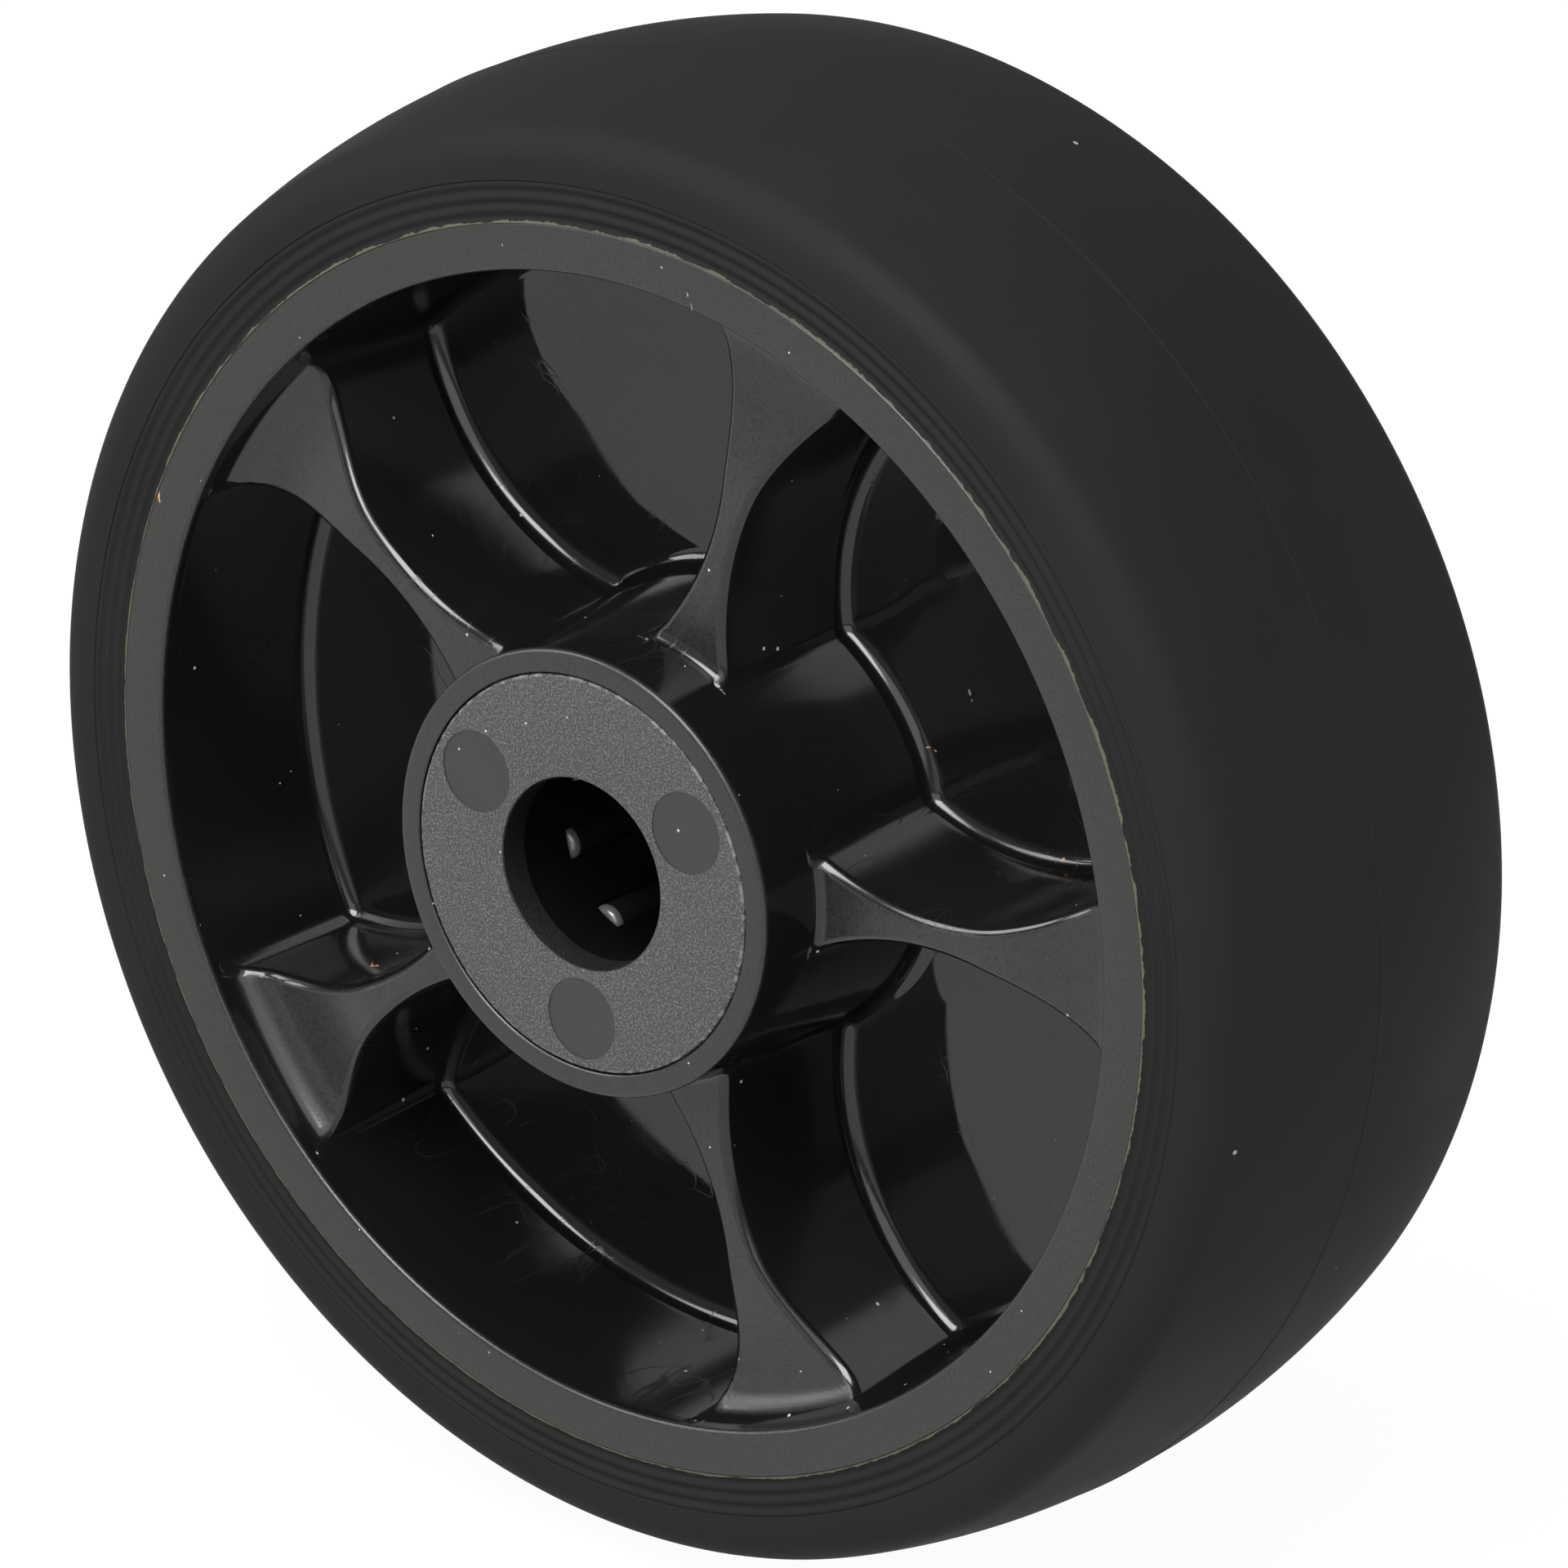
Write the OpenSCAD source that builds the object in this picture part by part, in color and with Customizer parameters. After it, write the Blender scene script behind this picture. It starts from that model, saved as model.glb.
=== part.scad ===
// Spoked trolley wheel with a rubber tyre, a moulded centre and a caged roller bearing.
// The axle runs along Y, Z is up, and the origin is the middle of the wheel.

/* [Tyre] */
// Outer diameter over the tread crown
tyre_d = 160; // [150:1:180]
// Width over the two side faces
tyre_w = 50; // [44:1:56]
// Thickness of the rubber on the rim, at the middle of the tread
tyre_t = 13; // [11:0.5:15]
// Radius of the tread's crown across the width
crown_r = 85; // [70:5:140]
// Radius of the rounded shoulders
shoulder_r = 4.5; // [3:0.5:6]
// Number of fine grooves round each side face
groove_n = 3; // [1:1:3]
// Depth of one fine groove
groove_depth = 0.4; // [0.2:0.1:0.6]
// Distance between two fine grooves
groove_pitch = 1.35; // [1.1:0.05:1.5]
// Radius of the raised parting bead round the tread
bead_r = 0.3; // [0.2:0.05:0.4]
// Distance of the parting bead from the middle of the width
bead_offset = 2.5; // [0:0.5:4]

/* [Rim] */
// Width of the flat front ring
rim_face_w = 5; // [4:0.5:6]
// Mould draft of the rim's inner wall in degrees
rim_draft = 4.5; // [2:0.5:6]
// Height of the ring that locks the tyre on the rim
lock_h = 3; // [2:0.5:4]
// Width of the locking ring at its top
lock_w = 10; // [6:1:16]

/* [Hub] */
// Length over the two hub faces
hub_l = 62; // [58:1:70]
// Diameter at the hub face
hub_d = 48; // [46:0.5:52]
// Mould draft of the hub in degrees
hub_draft = 2; // [1:0.5:3]
// Thickness of the web between the pockets
web_t = 7; // [5:0.5:9]

/* [Spokes] */
// Number of spokes on each side
spoke_n = 5; // [4:1:6]
// Width of a spoke at its waist
spoke_waist = 3.5; // [3:0.5:6]
// Distance from the rim's inner edge to the waist
waist_inset = 23.6; // [20:0.1:26]
// Radius of a spoke's hollow sides
flank_r = 32.5; // [30:0.5:45]
// Depth of the spoke faces below the rim face
spoke_drop = 2.5; // [1.5:0.5:4]
// Further dip of the spoke faces towards the rim
spoke_dip = 2.3; // [1:0.1:3]
// Share of the way from hub to rim where the dip starts
dip_start = 0.53; // [0.3:0.01:0.6]
// Mould draft of the spoke walls in degrees
spoke_draft = 1.5; // [0.5:0.5:2]
// Turn of the spokes about the axle in degrees
spoke_phase = 0.3; // [0:0.1:71.9]

/* [Fillets] */
// Radius between a pocket's walls and its floor
floor_r = 2; // [1:0.5:3]
// Radius between a spoke face and the hub
foot_r = 1.2; // [0.6:0.1:3]
// Radius between a spoke face and the rim
ramp_r = 4; // [3:0.5:4.5]
// Radius of the outer edges of hub and rim
edge_r = 0.5; // [0.3:0.1:0.8]

/* [End caps] */
// Diameter of the cap pressed into each hub face
cap_d = 43; // [40:0.5:44]
// Thickness of a cap
cap_t = 3.5; // [2.5:0.5:5]
// Gap between a cap's edge and its seat
cap_gap = 0.05; // [0.02:0.01:0.1]
// Edge chamfer of a cap
cap_edge = 0.3; // [0.2:0.1:0.5]

/* [Bearing] */
// Nominal axle diameter
axle_d = 20; // [18:0.5:21]
// Radial play of the axle in the caps and between the rollers
axle_play = 0.3; // [0.2:0.05:0.4]
// Diameter of a roller
roller_d = 4; // [3.2:0.1:4.2]
// Length of a roller
roller_l = 40; // [30:1:42]
// Radial play between the rollers and the hub's bore
roller_play = 0.05; // [0.03:0.01:0.08]
// Wall thickness of the cage
cage_t = 2.7; // [2:0.1:2.8]
// Turn of the rollers about the axle in degrees
roller_phase = 30; // [0:1:44]
// Gap between a roller and its pocket in the cage
cage_gap = 0.2; // [0.15:0.05:0.3]
// Gap between the cage and each cap
cage_end_gap = 0.5; // [0.3:0.1:1]

/* [Hidden] */
$fn = 96;

// Number of rollers, one node each
roller_n = 8;
// Facets of the wheel's large round forms
round_fn = 180;

// Half sizes along the axle
tyre_z = tyre_w / 2;
hub_z = hub_l / 2;
web_z = web_t / 2;
cap_z = hub_z - cap_t;

// Radii about the axle
tyre_r = tyre_d / 2;
rim_r = tyre_r - tyre_t;
rim_in_r = rim_r - rim_face_w;
waist_at = rim_in_r - waist_inset;
hub_r = hub_d / 2;
cap_r = cap_d / 2;
cap_bore_r = axle_d / 2 + axle_play;
pitch_r = cap_bore_r + roller_d / 2;
bore_r = pitch_r + roller_d / 2 + roller_play;
cage_r = pitch_r + cage_t / 2;
cage_z = cap_z - cage_end_gap;

// Heights of the spoke faces at the hub and at the rim
face_z = tyre_z - spoke_drop;
dip_z = face_z - spoke_dip;
dip_start_r = hub_r + dip_start * (rim_in_r - hub_r);

// How far the pockets' walls stand in front of the recess walls
wall_step = 0.04;
// How far a cutting shape runs past the solid that it cuts
past = 1;
// Straight steps in a rounded corner, in half the tread crown, in a floor corner and in a dip
arc_steps = 6;
crown_steps = 8;
floor_steps = 3;
dip_steps = 8;

function hub_wall(z) = hub_r + (hub_z - z) * tan(hub_draft);
function rim_wall(z) = rim_in_r - (tyre_z - z) * tan(rim_draft);
// Centre distance of a fillet from a drafted wall, seen from the wall's foot
function fillet_reach(r, draft) = r * (1 - sin(draft)) / cos(draft);
function arc(c, r, a0, a1, steps) =
    [for (i = [0:steps]) let (a = a0 + (a1 - a0) * i / steps) c + r * [cos(a), sin(a)]];
function smooth(t) = t * t * (3 - 2 * t);

// Turns a shape built about Z so that its axis is the axle, with its top at the back
module about_axle() {
    rotate([-90, 0, 0]) children();
}

module both_sides() {
    children();
    mirror([0, 0, 1]) children();
}

// Closed section from its upper half, which starts and ends on the middle plane
function both_halves(upper) =
    concat(upper, [for (i = [len(upper) - 2:-1:1]) [upper[i][0], -upper[i][1]]]);
function reversed(points) = [for (i = [len(points) - 1:-1:0]) points[i]];

// Outline of the seat that the tyre grips, from the side face to the middle
function seat_outline() = [
    [rim_r, tyre_z],
    [rim_r, lock_w / 2 + lock_h],
    [rim_r + lock_h, lock_w / 2],
    [rim_r + lock_h, 0]
];

// Centres of the tread crown and of a shoulder in the plane of radius and axle
crown_x = tyre_r - crown_r;
shoulder_z = tyre_z - shoulder_r;
shoulder_x = crown_x + sqrt(pow(crown_r - shoulder_r, 2) - pow(shoulder_z, 2));
blend_a = asin(shoulder_z / (crown_r - shoulder_r));

// Upper half of the tyre's section, from its seat round the shoulder to the crown
function tyre_outline() = concat(
    reversed(seat_outline()),
    arc([shoulder_x, shoulder_z], shoulder_r, 90, blend_a, arc_steps),
    arc([crown_x, 0], crown_r, blend_a * (1 - 1 / crown_steps), 0, crown_steps - 1));

module tyre() {
    color([0.17, 0.17, 0.17]) about_axle() {
        difference() {
            rotate_extrude($fn = round_fn) polygon(both_halves(tyre_outline()));
            for (side = [-1, 1], i = [1:groove_n]) translate([0, 0, side * tyre_z])
                rotate_extrude($fn = round_fn)
                    translate([rim_r + i * groove_pitch, 0])
                        rotate(45) square(groove_depth * sqrt(2), center = true);
        }
        rotate_extrude($fn = round_fn)
            translate([crown_x + sqrt(pow(crown_r, 2) - pow(bead_offset, 2)) - bead_r / 2, -bead_offset])
                circle(r = bead_r, $fn = 24);
    }
}

// Upper half of the centre's section, with the spoke faces still a closed ring
function centre_outline() =
    let (hub_foot = [hub_wall(face_z) + fillet_reach(foot_r, hub_draft), face_z + foot_r],
         rim_foot = [rim_wall(dip_z) - fillet_reach(ramp_r, rim_draft), dip_z + ramp_r])
    concat(
        [[bore_r, 0], [bore_r, cap_z], [cap_r, cap_z], [cap_r, hub_z]],
        arc([hub_r - edge_r, hub_z - edge_r], edge_r, 90, 0, arc_steps),
        arc(hub_foot, foot_r, 180 + hub_draft, 270, arc_steps),
        [for (i = [0:dip_steps]) let (t = i / dip_steps)
            [dip_start_r + (rim_foot[0] - dip_start_r) * t, face_z - spoke_dip * smooth(t)]],
        arc(rim_foot, ramp_r, 270, 360 - rim_draft, arc_steps),
        arc([rim_in_r + edge_r, tyre_z - edge_r], edge_r, 180, 90, arc_steps),
        seat_outline());

module centre_blank() {
    rotate_extrude($fn = round_fn) polygon(both_halves(centre_outline()));
}

// Ring between hub and rim, from the web up past the faces, with rounded floor corners
module cavity_ring() {
    top = tyre_z + past;
    hub_c = [hub_wall(web_z) + wall_step + fillet_reach(floor_r, hub_draft), web_z + floor_r];
    rim_c = [rim_wall(web_z) - wall_step - fillet_reach(floor_r, rim_draft), web_z + floor_r];
    rotate_extrude($fn = round_fn)
        polygon(concat(
            [[hub_wall(top) + wall_step, top]],
            arc(hub_c, floor_r, 180 + hub_draft, 270, floor_steps),
            arc(rim_c, floor_r, 270, 360 - rim_draft, floor_steps),
            [[rim_wall(top) - wall_step, top]]));
}

// Drum whose wall is one hollow side of a spoke that lies along X, on its left (1) or right (-1)
module flank_drum(side) {
    top = tyre_z + 2 * past;
    foot = flank_r - (face_z - web_z) * tan(spoke_draft);
    foot_c = [foot - fillet_reach(floor_r, spoke_draft), web_z + floor_r];
    translate([waist_at, side * (flank_r + spoke_waist / 2), 0])
        rotate_extrude($fn = 120)
            polygon(concat(
                [[0, top], [0, web_z]],
                arc(foot_c, floor_r, 270, 360 - spoke_draft, floor_steps),
                [[flank_r + (top - face_z) * tan(spoke_draft), top]]));
}

module pockets() {
    for (i = [0:spoke_n - 1]) rotate([0, 0, -spoke_phase - i * 360 / spoke_n])
        intersection() {
            cavity_ring();
            flank_drum(1);
            rotate([0, 0, 360 / spoke_n]) flank_drum(-1);
        }
}

module wheel_centre() {
    color([0.1, 0.1, 0.1]) about_axle()
        difference() {
            centre_blank();
            both_sides() pockets();
        }
}

// Cap with its outer face up, standing on its seat in the hub
module end_cap() {
    color([0.24, 0.24, 0.25])
        rotate_extrude($fn = 120)
            polygon([
                [cap_bore_r, cap_z],
                [cap_r - cap_gap, cap_z],
                [cap_r - cap_gap, hub_z - cap_edge],
                [cap_r - cap_gap - cap_edge, hub_z],
                [cap_bore_r, hub_z]]);
}

module end_cap_front() {
    about_axle() mirror([0, 0, 1]) end_cap();
}

module end_cap_back() {
    about_axle() end_cap();
}

// Places a shape at one roller's centre line
module at_roller(i) {
    rotate([0, 0, roller_phase + i * 360 / roller_n]) translate([pitch_r, 0, 0]) children();
}

module roller_cage() {
    color([0.08, 0.08, 0.08]) about_axle()
        difference() {
            cylinder(r = cage_r, h = 2 * cage_z, center = true);
            cylinder(r = cage_r - cage_t, h = 2 * (cage_z + past), center = true);
            for (i = [1:roller_n]) at_roller(i)
                cylinder(d = roller_d + 2 * cage_gap, h = roller_l + 2 * cage_gap, center = true, $fn = 48);
        }
}

module roller(i) {
    color([0.55, 0.55, 0.56]) about_axle() at_roller(i)
        cylinder(d = roller_d, h = roller_l, center = true, $fn = 48);
}

module roller_1() { roller(1); }
module roller_2() { roller(2); }
module roller_3() { roller(3); }
module roller_4() { roller(4); }
module roller_5() { roller(5); }
module roller_6() { roller(6); }
module roller_7() { roller(7); }
module roller_8() { roller(8); }

tyre();
wheel_centre();
end_cap_front();
end_cap_back();
roller_cage();
roller_1();
roller_2();
roller_3();
roller_4();
roller_5();
roller_6();
roller_7();
roller_8();
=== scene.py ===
"""A rubber trolley wheel on a pale studio floor.

The wheel has a moulded centre with waisted spokes, a rubber tyre, a cap in each hub face and a
caged roller bearing. The axle runs along Y and Z is up. Sizes in the classes are millimetres.
"""

import logging
import math
from dataclasses import dataclass, field
from enum import Enum
from typing import ClassVar

import bpy
from mathutils import Matrix, Vector, noise

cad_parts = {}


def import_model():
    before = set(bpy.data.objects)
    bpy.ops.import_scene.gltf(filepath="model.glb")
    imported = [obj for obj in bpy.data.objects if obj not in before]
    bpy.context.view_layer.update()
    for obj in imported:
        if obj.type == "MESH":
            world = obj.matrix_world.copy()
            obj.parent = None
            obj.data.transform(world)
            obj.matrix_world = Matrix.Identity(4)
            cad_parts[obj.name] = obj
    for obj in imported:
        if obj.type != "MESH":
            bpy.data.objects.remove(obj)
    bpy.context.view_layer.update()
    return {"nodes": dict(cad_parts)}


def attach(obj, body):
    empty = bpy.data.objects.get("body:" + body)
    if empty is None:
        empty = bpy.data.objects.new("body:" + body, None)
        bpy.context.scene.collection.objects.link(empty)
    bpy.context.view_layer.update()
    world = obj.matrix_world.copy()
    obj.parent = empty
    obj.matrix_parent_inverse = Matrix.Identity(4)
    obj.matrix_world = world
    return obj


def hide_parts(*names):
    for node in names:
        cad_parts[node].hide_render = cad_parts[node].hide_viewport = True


LOG = logging.getLogger("trolley_wheel")
MM = 0.001
WHEEL_BODY = "wheel"

Point = tuple[float, float]
Outline = list[Point]
Place = tuple[float, float, float]
Colour = tuple[float, float, float, float]
Object = bpy.types.Object
Material = bpy.types.Material
Tree = bpy.types.NodeTree
Node = bpy.types.Node
Socket = bpy.types.NodeSocket


class Side(Enum):
    """A side of the wheel, with its direction along the axle."""

    FRONT = -1
    BACK = 1


class Slot(Enum):
    """The record's material slots that the scene's own pieces take."""

    TYRE = "tyre"
    CENTRE = "centre"
    CAP = "cap"
    ROLLER = "roller"


def grey(value: float) -> Colour:
    """An opaque grey."""
    return value, value, value, 1.0


def arc(centre: Point, radius: float, start: float, end: float, steps: int) -> Outline:
    """Points along an arc.

    Args:
        centre: Centre of the arc.
        radius: Radius of the arc.
        start: First angle in degrees.
        end: Last angle in degrees.
        steps: Number of straight steps.

    Returns:
        The arc's points, both ends included.
    """
    turns = [math.radians(start + (end - start) * i / steps) for i in range(steps + 1)]
    return [(centre[0] + radius * math.cos(a), centre[1] + radius * math.sin(a)) for a in turns]


def smooth(t: float) -> float:
    """Ease from 0 to 1 with level ends."""
    return t * t * (3 - 2 * t)


def fillet_reach(radius: float, draft: float) -> float:
    """Distance of a fillet's centre from a drafted wall, seen from the wall's foot."""
    return radius * (1 - math.sin(math.radians(draft))) / math.cos(math.radians(draft))


def mirrored(half: Outline) -> Outline:
    """Close a section whose half outline starts and ends on the middle plane."""
    return half + [(x, -z) for x, z in reversed(half[1:-1])]


class Workbench:
    """The modelling steps that every piece goes through."""

    MERGE = 1e-6

    @staticmethod
    def only(piece: Object) -> None:
        """Select one object alone and make it active."""
        bpy.ops.object.select_all(action="DESELECT")
        piece.select_set(True)
        bpy.context.view_layer.objects.active = piece

    @staticmethod
    def loop(name: str, points: list[Vector]) -> Object:
        """Add a closed loop of edges.

        Args:
            name: Name of the new object.
            points: Corners of the loop in metres.

        Returns:
            The new object, which sits at the origin.
        """
        bpy.ops.object.select_all(action="DESELECT")
        bpy.ops.mesh.primitive_circle_add(vertices=len(points), radius=1, fill_type="NOTHING")
        piece = bpy.context.active_object
        piece.name = name
        piece.data.name = name
        for vertex, place in zip(piece.data.vertices, points):
            vertex.co = place
        return piece

    @classmethod
    def turned(cls, name: str, section: Outline, steps: int, tilt: float = 0.0) -> Object:
        """Spin a closed section about the axle.

        Args:
            name: Name of the new object.
            section: Radius and place along the axle of each corner, in millimetres.
            steps: Number of steps round the axle.
            tilt: Angle in degrees at which the spin starts.

        Returns:
            The turned piece with merged seam and outward faces.
        """
        turn = math.radians(tilt)
        ring = [Vector((r * math.cos(turn), y, r * math.sin(turn))) * MM for r, y in section]
        piece = cls.loop(name, ring)
        cls.only(piece)
        bpy.ops.object.mode_set(mode="EDIT")
        bpy.ops.mesh.select_all(action="SELECT")
        bpy.ops.mesh.spin(steps=steps, angle=math.tau, center=(0, 0, 0), axis=(0, 1, 0))
        cls.tidy_shell()
        bpy.ops.object.mode_set(mode="OBJECT")
        return piece

    @classmethod
    def tidy_shell(cls) -> None:
        """Merge doubles and turn the faces outwards, in edit mode."""
        bpy.ops.mesh.select_all(action="SELECT")
        bpy.ops.mesh.remove_doubles(threshold=cls.MERGE)
        bpy.ops.mesh.normals_make_consistent(inside=False)

    @classmethod
    def lofted(cls, name: str, rings: list[list[Vector]]) -> Object:
        """Extrude a closed loop from ring to ring and close both ends.

        Args:
            name: Name of the new object.
            rings: Rings with the same number of points each, in metres.

        Returns:
            The closed solid.
        """
        piece = cls.loop(name, rings[0])
        cls.only(piece)
        for ring in rings[1:]:
            bpy.ops.object.mode_set(mode="EDIT")
            bpy.ops.mesh.extrude_region_move()
            bpy.ops.object.mode_set(mode="OBJECT")
            lifted = [v for v in piece.data.vertices if v.select]
            for vertex, place in zip(lifted, ring):
                vertex.co = place
        bpy.ops.object.mode_set(mode="EDIT")
        bpy.ops.mesh.edge_face_add()
        bpy.ops.object.mode_set(mode="OBJECT")
        cls.select_vertices(piece, range(len(rings[0])))
        bpy.ops.object.mode_set(mode="EDIT")
        bpy.ops.mesh.edge_face_add()
        cls.tidy_shell()
        bpy.ops.object.mode_set(mode="OBJECT")
        return piece

    @staticmethod
    def select_vertices(piece: Object, chosen: range) -> None:
        """Select some of a mesh's vertices, and the edges between them, in object mode."""
        for part in (piece.data.vertices, piece.data.edges, piece.data.polygons):
            part.foreach_set("select", [False] * len(part))
        wanted = set(chosen)
        for index in wanted:
            piece.data.vertices[index].select = True
        for edge in piece.data.edges:
            edge.select = edge.vertices[0] in wanted and edge.vertices[1] in wanted

    @classmethod
    def copied(cls, piece: Object, name: str, place: Matrix) -> Object:
        """Copy a piece with its own mesh and move the copy's mesh.

        Args:
            piece: The piece to copy.
            name: Name of the copy.
            place: Transform of the copy's mesh.

        Returns:
            The copy, which sits at the origin.
        """
        cls.only(piece)
        bpy.ops.object.duplicate(linked=False)
        twin = bpy.context.active_object
        twin.name = name
        twin.data.name = name
        twin.data.transform(place)
        if place.determinant() < 0:
            twin.data.flip_normals()
        return twin

    @classmethod
    def joined(cls, name: str, pieces: list[Object]) -> Object:
        """Join pieces into one object."""
        bpy.ops.object.select_all(action="DESELECT")
        for piece in pieces:
            piece.select_set(True)
        bpy.context.view_layer.objects.active = pieces[0]
        bpy.ops.object.join()
        whole = bpy.context.active_object
        whole.name = name
        whole.data.name = name
        return whole

    @classmethod
    def cut(cls, piece: Object, cutter: Object) -> None:
        """Cut one closed piece out of another and delete the cutter."""
        cls.only(piece)
        modifier = piece.modifiers.new("Cut", "BOOLEAN")
        modifier.operation = "DIFFERENCE"
        modifier.solver = "EXACT"
        modifier.object = cutter
        bpy.ops.object.modifier_apply(modifier=modifier.name)
        bpy.data.objects.remove(cutter)

    @classmethod
    def shade(cls, piece: Object, angle: float = 30.0) -> None:
        """Smooth a piece's faces, apart from edges sharper than the angle in degrees."""
        cls.only(piece)
        bpy.ops.object.shade_smooth_by_angle(angle=math.radians(angle))

    @classmethod
    def seat(
        cls, piece: Object, body: str, slot: Slot, material: Material, *nodes: str
    ) -> None:
        """Dress a finished piece and put it in the frame.

        Args:
            piece: The finished piece.
            body: Name of the body that it rides on.
            slot: Material slot of the piece; not used.
            material: Its material.
            nodes: CAD nodes that it stands for.
        """
        piece.data.materials.clear()
        piece.data.materials.append(material)
        if nodes:
            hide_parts(*nodes)
        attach(piece, body)
        LOG.info("%s: %d faces on %s", piece.name, len(piece.data.polygons), body)


class NodeWriter:
    """Writes the nodes of one shader tree."""

    def __init__(self, tree: Tree) -> None:
        """Keep the tree that the nodes go into."""
        self.tree = tree
        self.count = 0

    def add(self, kind: str, **values: object) -> Node:
        """Add a node and set its properties.

        Args:
            kind: Blender's name of the node type.
            values: Properties of the node.

        Returns:
            The new node.
        """
        node = self.tree.nodes.new(kind)
        node.location = (180 * (self.count % 12), -260 * (self.count // 12))
        self.count += 1
        for key, value in values.items():
            setattr(node, key, value)
        return node

    def wire(self, source: object, target: Socket) -> None:
        """Link a socket to an input, or set the input to a number or colour."""
        if isinstance(source, Socket):
            self.tree.links.new(source, target)
        else:
            target.default_value = source

    def math(self, operation: str, a: object, b: object = 0.0, clamp: bool = False) -> Socket:
        """Add a Math node and return its value."""
        node = self.add("ShaderNodeMath", operation=operation, use_clamp=clamp)
        self.wire(a, node.inputs[0])
        self.wire(b, node.inputs[1])
        return node.outputs[0]

    def times(self, a: object, b: object) -> Socket:
        """Multiply two values."""
        return self.math("MULTIPLY", a, b)

    def plus(self, a: object, b: object) -> Socket:
        """Add two values."""
        return self.math("ADD", a, b)

    def minus(self, a: object, b: object) -> Socket:
        """Subtract the second value from the first."""
        return self.math("SUBTRACT", a, b)

    def larger(self, a: object, b: object) -> Socket:
        """Return the larger of two values."""
        return self.math("MAXIMUM", a, b)

    def vector(self, operation: str, a: object, b: object = (0.0, 0.0, 0.0)) -> Socket:
        """Add a Vector Math node and return its result."""
        node = self.add("ShaderNodeVectorMath", operation=operation)
        self.wire(a, node.inputs[0])
        self.wire(b, node.inputs[1])
        single = operation in ("LENGTH", "DISTANCE", "DOT_PRODUCT")
        return node.outputs["Value" if single else "Vector"]

    def scaled(self, vector: object, amount: object) -> Socket:
        """Add a Vector Math node that scales a vector by a number."""
        node = self.add("ShaderNodeVectorMath", operation="SCALE")
        self.wire(vector, node.inputs[0])
        self.wire(amount, node.inputs["Scale"])
        return node.outputs["Vector"]

    def ramp(
        self, value: object, low: object, high: object, to_low: float = 0.0, to_high: float = 1.0
    ) -> Socket:
        """Add a smooth Map Range node from low and high to two new values."""
        node = self.add("ShaderNodeMapRange", interpolation_type="SMOOTHSTEP")
        for name, source in (("Value", value), ("From Min", low), ("From Max", high)):
            self.wire(source, node.inputs[name])
        node.inputs["To Min"].default_value = to_low
        node.inputs["To Max"].default_value = to_high
        return node.outputs["Result"]

    def fade(self, value: object, edge: float, offsets: Point) -> Socket:
        """Add a ramp from 0 to 1 beside an edge.

        Args:
            value: The length that is compared with the edge, in metres.
            edge: Place of the edge in millimetres.
            offsets: Where the ramp starts and ends, in millimetres from the edge.

        Returns:
            The ramp's value.
        """
        return self.ramp(value, (edge + offsets[0]) * MM, (edge + offsets[1]) * MM)

    def noise(self, vector: object, scale: object, detail: float = 2.0, rough: float = 0.5) -> Socket:
        """Add a Noise Texture node and return its value."""
        node = self.add("ShaderNodeTexNoise")
        self.wire(vector, node.inputs["Vector"])
        self.wire(scale, node.inputs["Scale"])
        node.inputs["Detail"].default_value = detail
        node.inputs["Roughness"].default_value = rough
        return node.outputs["Fac"]

    def blend(self, amount: object, a: object, b: object) -> Socket:
        """Add a Mix node between two colours."""
        node = self.add("ShaderNodeMix", data_type="RGBA")
        self.wire(amount, node.inputs["Factor"])
        self.wire(a, node.inputs[6])
        self.wire(b, node.inputs[7])
        return node.outputs[2]

    def place(self) -> Socket:
        """Add a Texture Coordinate node and return the object coordinates."""
        return self.add("ShaderNodeTexCoord").outputs["Object"]

    def depth(self, place: object) -> Socket:
        """Return the distance from the wheel's middle plane."""
        parts = self.add("ShaderNodeSeparateXYZ")
        self.wire(place, parts.inputs[0])
        return self.math("ABSOLUTE", parts.outputs["Y"])

    def flat(self, place: object) -> Socket:
        """Return the place seen along the axle."""
        return self.vector("MULTIPLY", place, (1.0, 0.0, 1.0))


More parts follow.
